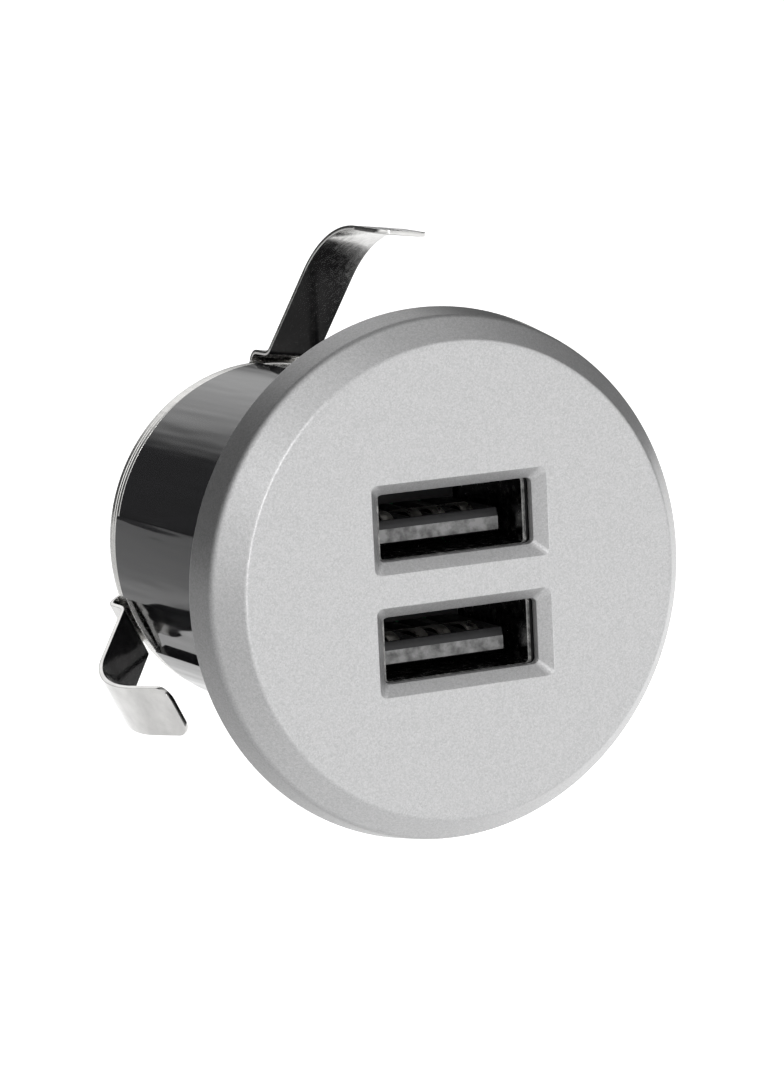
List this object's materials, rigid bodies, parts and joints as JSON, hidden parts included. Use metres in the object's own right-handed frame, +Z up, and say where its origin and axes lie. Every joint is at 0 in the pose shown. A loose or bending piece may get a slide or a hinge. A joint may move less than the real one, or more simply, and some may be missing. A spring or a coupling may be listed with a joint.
{
  "type": "flush-mount usb wall charger",
  "caption": "Round flush-mount USB charger with two stacked USB-A ports, silver flange, black round body and flaring spring clips.",
  "frame": {"origin": "centre of the plane where the flange's rear edge seats on the panel, on the charger's axis", "axes": "+Y along the charger's axis into the panel, so the face looks along -Y; +Z up; +X to the right of someone who faces the front"},
  "size_m": [0.0431, 0.0396, 0.0474],
  "materials": {
    "silver_paint": "satin metallic paint, fine sparkle",
    "black_gloss": "moulded gloss",
    "spring_steel": "polished spring strip",
    "plated_steel": "bright plated",
    "port_plastic": "matte",
    "contact_plating": "bright tin plate",
    "rubber": "matte",
    "circuit_board": "solder mask",
    "ferrite": "sintered",
    "winding_tape": "polyester tape",
    "capacitor_sleeve": "shrunk sleeve",
    "component_black": "moulded",
    "disc_blue": "dipped",
    "terminal_green": "moulded"
  },
  "bodies": {
    "root": {"face_plate": "silver_paint", "body_shell": "black_gloss", "spring_hub": "spring_steel", "rear_cap": "plated_steel", "hub_screw_1": "plated_steel", "hub_screw_2": "plated_steel", "hub_screw_3": "plated_steel", "usb_shell_upper": "plated_steel", "usb_shell_lower": "plated_steel", "terminal_screw_1": "plated_steel", "terminal_screw_2": "plated_steel", "port_frame": "port_plastic", "usb_insulator_upper": "port_plastic", "usb_insulator_lower": "port_plastic", "pin_upper_1": "contact_plating", "pin_upper_2": "contact_plating", "pin_upper_3": "contact_plating", "pin_upper_4": "contact_plating", "pin_lower_1": "contact_plating", "pin_lower_2": "contact_plating", "pin_lower_3": "contact_plating", "pin_lower_4": "contact_plating", "cable_grommet": "rubber", "port_board": "circuit_board", "power_board": "circuit_board", "transformer_core": "ferrite", "filter_choke": "ferrite", "transformer_winding": "winding_tape", "input_capacitor": "capacitor_sleeve", "output_capacitor_1": "capacitor_sleeve", "output_capacitor_2": "capacitor_sleeve", "bridge_rectifier": "component_black", "controller_chip": "component_black", "output_diode": "component_black", "safety_capacitor": "disc_blue", "terminal_block": "terminal_green", "fuse": "terminal_green"},
    "leg_top": {"leg_top": "spring_steel"},
    "leg_right": {"leg_right": "spring_steel"},
    "leg_left": {"leg_left": "spring_steel"},
    "contacts_upper": {"contact_upper_1": "contact_plating", "contact_upper_2": "contact_plating", "contact_upper_3": "contact_plating", "contact_upper_4": "contact_plating"},
    "contacts_lower": {"contact_lower_1": "contact_plating", "contact_lower_2": "contact_plating", "contact_lower_3": "contact_plating", "contact_lower_4": "contact_plating"}
  },
  "joints": [
    {"name": "leg_top_flex", "type": "hinge", "parent": "root", "child": "leg_top", "pos_m": [0.00208, 0.02738, 0.01481], "axis": [0.9903, 0, -0.1392], "range_deg": [-3.8, 32.7], "stiffness_Nm_per_rad": 0.15},
    {"name": "leg_right_flex", "type": "hinge", "parent": "root", "child": "leg_right", "pos_m": [0.01209, 0.02738, -0.00879], "axis": [-0.5878, 0, -0.809], "range_deg": [-10.5, 26], "stiffness_Nm_per_rad": 0.15},
    {"name": "leg_left_flex", "type": "hinge", "parent": "root", "child": "leg_left", "pos_m": [-0.01344, 0.02738, -0.00655], "axis": [-0.4384, 0, 0.8988], "range_deg": [-17.2, 19.3], "stiffness_Nm_per_rad": 0.15},
    {"name": "contacts_upper_flex", "type": "hinge", "parent": "root", "child": "contacts_upper", "pos_m": [0, 0.0077, 0.00413], "axis": [1, 0, 0], "range_deg": [0, 4], "stiffness_Nm_per_rad": 0.05},
    {"name": "contacts_lower_flex", "type": "hinge", "parent": "root", "child": "contacts_lower", "pos_m": [0, 0.0077, -0.00537], "axis": [1, 0, 0], "range_deg": [0, 4], "stiffness_Nm_per_rad": 0.05}
  ]
}
